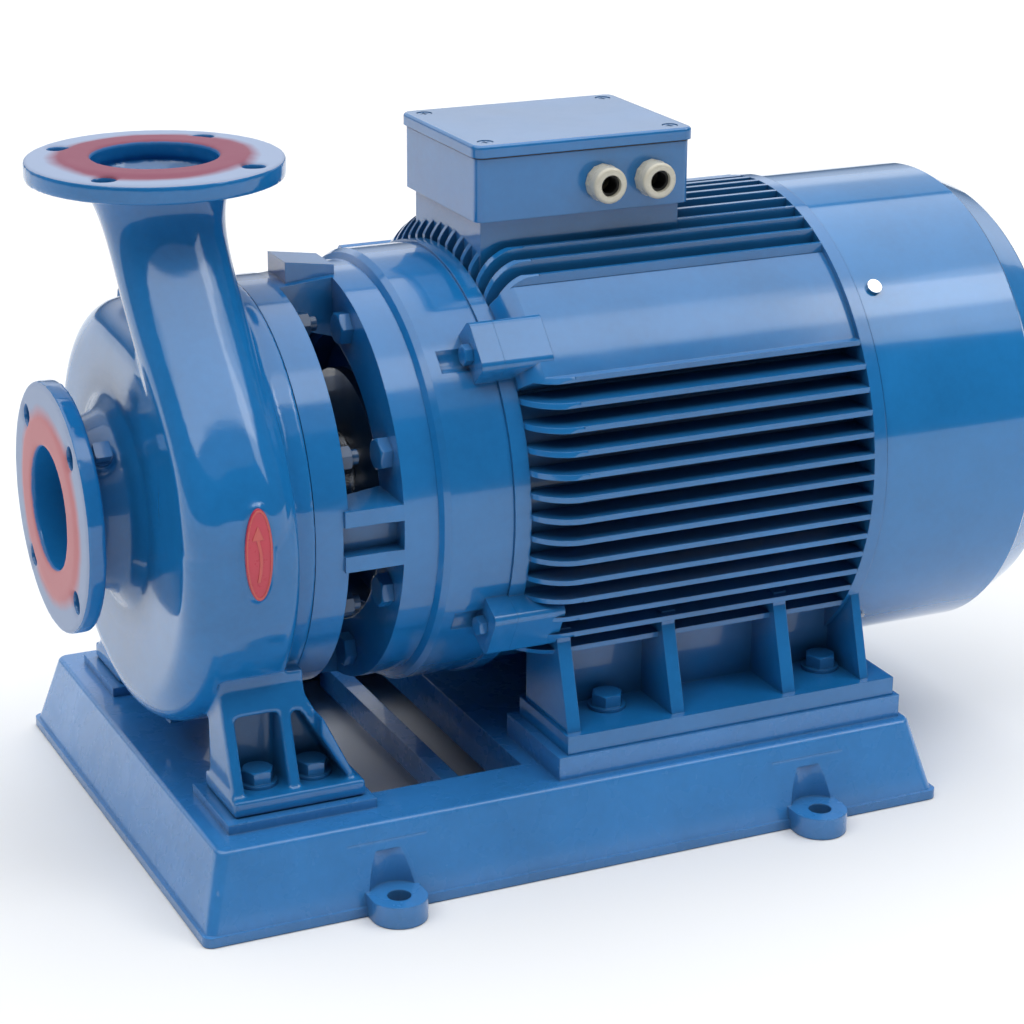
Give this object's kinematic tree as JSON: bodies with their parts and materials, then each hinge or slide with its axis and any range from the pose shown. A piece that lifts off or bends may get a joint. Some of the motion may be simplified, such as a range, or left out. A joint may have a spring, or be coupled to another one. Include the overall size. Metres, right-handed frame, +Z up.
{
  "type": "centrifugal water pump",
  "caption": "Close-coupled end-suction centrifugal pump with a finned electric motor, both on a cast bedplate with foundation lugs.",
  "frame": {"origin": "middle of the four foundation holes in the bedplate lugs, on the floor", "axes": "+X along the shaft from the suction flange to the fan, +Z up along the discharge, +Y to the side away from the cable entries"},
  "size_m": [0.8565, 0.5378, 0.57],
  "materials": {
    "blue_enamel": "gloss enamel",
    "cowl_enamel": "gloss enamel on sheet steel",
    "steel": "machined",
    "bearing_steel": "ground and polished",
    "bronze": "cast and machined",
    "spring_steel": "bright",
    "carbon": "lapped graphite",
    "rubber": "matt black",
    "gasket": "matt fibre sheet",
    "core_steel": "stacked sheet, dull",
    "winding": "varnished copper wire",
    "cage_aluminium": "as cast",
    "fan_plastic": "moulded black",
    "board": "moulded brown",
    "terminal_brass": "bright",
    "gland_plastic": "cream, semi-gloss",
    "red_plate": "red, semi-gloss"
  },
  "bodies": {
    "pump_set": {"base_plate": "blue_enamel", "pump_casing": "blue_enamel", "casing_wear_ring": "bronze", "casing_cover": "blue_enamel", "cover_gasket": "gasket", "casing_studs": "steel", "casing_nuts": "blue_enamel", "casing_plugs": "blue_enamel", "direction_plate": "red_plate", "lantern": "blue_enamel", "lantern_bolts": "blue_enamel", "seal_seat": "carbon", "seal_seat_ring": "rubber", "pump_foot_bolts": "blue_enamel", "motor_foot_bolts": "blue_enamel", "motor_frame": "blue_enamel", "stator_core": "core_steel", "stator_winding": "winding", "drive_end_shield": "blue_enamel", "drive_end_shield_bolts": "blue_enamel", "drive_end_outer_cap": "blue_enamel", "drive_end_inner_cap": "steel", "drive_end_outer_race": "bearing_steel", "fan_end_shield": "blue_enamel", "fan_end_shield_bolts": "blue_enamel", "fan_end_outer_cap": "blue_enamel", "fan_end_inner_cap": "steel", "fan_end_outer_race": "bearing_steel", "fan_cowl": "cowl_enamel", "cowl_screws": "blue_enamel", "terminal_box": "blue_enamel", "terminal_lid": "blue_enamel", "lid_gasket": "gasket", "lid_screws": "blue_enamel", "terminal_board": "board", "terminal_studs": "terminal_brass", "gland_bodies": "gland_plastic", "gland_caps": "gland_plastic", "gland_locknuts": "gland_plastic", "gland_seals": "rubber"},
    "rotor": {"shaft": "steel", "impeller": "bronze", "impeller_key": "steel", "impeller_washer": "steel", "impeller_nut": "steel", "seal_collar": "steel", "seal_spring": "spring_steel", "seal_head": "steel", "slinger": "rubber", "drive_end_inner_race": "bearing_steel", "fan_end_inner_race": "bearing_steel", "rotor_core": "core_steel", "rotor_cage": "cage_aluminium", "fan": "fan_plastic", "fan_key": "steel", "fan_circlip": "spring_steel"},
    "drive_end_ball_set": {"drive_end_balls": "bearing_steel", "drive_end_cage": "bronze"},
    "fan_end_ball_set": {"fan_end_balls": "bearing_steel", "fan_end_cage": "bronze"}
  },
  "joints": [
    {"name": "rotor_spin", "type": "hinge", "parent": "pump_set", "child": "rotor", "pos_m": [0, 0, 0.29], "axis": [1, 0, 0], "continuous": true},
    {"name": "drive_end_balls_spin", "type": "hinge", "parent": "pump_set", "child": "drive_end_ball_set", "pos_m": [-0.11, 0, 0.29], "axis": [1, 0, 0], "continuous": true},
    {"name": "fan_end_balls_spin", "type": "hinge", "parent": "pump_set", "child": "fan_end_ball_set", "pos_m": [0.3055, 0, 0.29], "axis": [1, 0, 0], "continuous": true}
  ],
  "couplings": [
    {"joint": "drive_end_balls_spin", "follows": "rotor_spin", "ratio": 0.385},
    {"joint": "fan_end_balls_spin", "follows": "rotor_spin", "ratio": 0.385}
  ]
}
